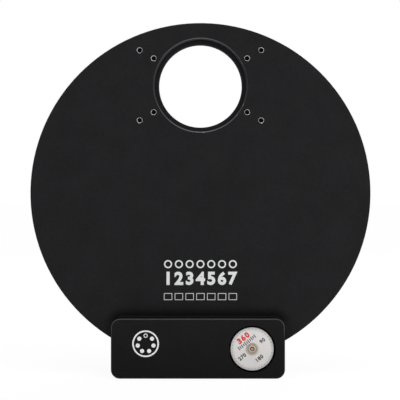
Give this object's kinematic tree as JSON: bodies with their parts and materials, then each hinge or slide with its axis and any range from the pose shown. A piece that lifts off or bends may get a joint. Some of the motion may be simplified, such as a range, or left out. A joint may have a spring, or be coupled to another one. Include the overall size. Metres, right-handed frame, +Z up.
{
  "type": "optical filter wheel",
  "caption": "Motorised filter wheel for a telescope: flat round black housing with a threaded aperture near its edge, a filter carousel inside and a motor box at the foot.",
  "frame": {"origin": "middle of the box around the part, at the foot of the motor box", "axes": "+X to the right seen from the front, +Y from the front face to the back cover along the light path, +Z up to the aperture"},
  "size_m": [0.194, 0.0344, 0.2005],
  "materials": {
    "black_anodised": "satin black anodised",
    "screw_steel": "black oxide",
    "ground_steel": "ground",
    "black_steel": "black oxide",
    "brass": "turned",
    "bronze": "sintered",
    "magnet_nickel": "nickel plated",
    "motor_steel": "zinc plated",
    "ferrite": "matte",
    "copper": "enamelled winding",
    "tyre_rubber": "matte",
    "dial_paper": "printed film",
    "white_plastic": "moulded",
    "wire": "insulated wire",
    "circuit_board": "solder mask",
    "plated_shell": "tin plated",
    "chip_plastic": "moulded",
    "filter_1": "coated glass",
    "filter_2": "coated glass",
    "filter_3": "coated glass",
    "filter_4": "coated glass",
    "filter_5": "coated glass",
    "filter_6": "coated glass"
  },
  "bodies": {
    "case": {"housing": "black_anodised", "back_cover": "black_anodised", "motor_cover": "black_anodised", "back_cover_screws": "screw_steel", "motor_cover_screws": "screw_steel", "motor_screws": "screw_steel", "board_screws": "screw_steel", "axle": "ground_steel", "axle_washer": "ground_steel", "bearing_inner_ring": "ground_steel", "axle_screw": "black_steel", "motor_front_bush": "bronze", "motor_rear_bush": "bronze", "motor_can": "motor_steel", "motor_flange": "motor_steel", "motor_coils": "copper", "motor_dial": "dial_paper", "motor_terminal": "white_plastic", "lead_header": "white_plastic", "usb_contact_block": "white_plastic", "motor_lead": "wire", "control_board": "circuit_board", "usb_socket": "plated_shell", "buffer_capacitor": "plated_shell", "microcontroller": "chip_plastic", "motor_driver_chip": "chip_plastic", "hall_sensor": "chip_plastic"},
    "carousel": {"carousel": "black_anodised", "bearing_outer_ring": "ground_steel", "bearing_retainer": "black_anodised", "retainer_screws": "screw_steel", "index_magnets": "magnet_nickel", "filter_retaining_rings": "black_anodised", "filter_cell_1": "black_anodised", "filter_cell_2": "black_anodised", "filter_cell_3": "black_anodised", "filter_cell_4": "black_anodised", "filter_cell_5": "black_anodised", "filter_cell_6": "black_anodised", "filter_glass_1": "filter_1", "filter_glass_2": "filter_2", "filter_glass_3": "filter_3", "filter_glass_4": "filter_4", "filter_glass_5": "filter_5", "filter_glass_6": "filter_6"},
    "bearing_cage": {"bearing_balls": "ground_steel", "bearing_cage": "brass"},
    "drive": {"motor_rotor": "ferrite", "motor_shaft": "ground_steel", "drive_roller": "brass", "drive_tyre": "tyre_rubber", "roller_grub_screw": "black_steel"}
  },
  "joints": [
    {"name": "carousel_spin", "type": "hinge", "parent": "case", "child": "carousel", "pos_m": [0, 0, 0.1035], "axis": [0, -1, 0], "continuous": true},
    {"name": "motor_spin", "type": "hinge", "parent": "case", "child": "drive", "pos_m": [0.0288, 0, 0.0166], "axis": [0, -1, 0], "continuous": true},
    {"name": "cage_spin", "type": "hinge", "parent": "case", "child": "bearing_cage", "pos_m": [0, 0, 0.1035], "axis": [0, -1, 0], "continuous": true}
  ],
  "couplings": [
    {"joint": "motor_spin", "follows": "carousel_spin", "ratio": -25.143},
    {"joint": "cage_spin", "follows": "carousel_spin", "ratio": 0.61765}
  ]
}
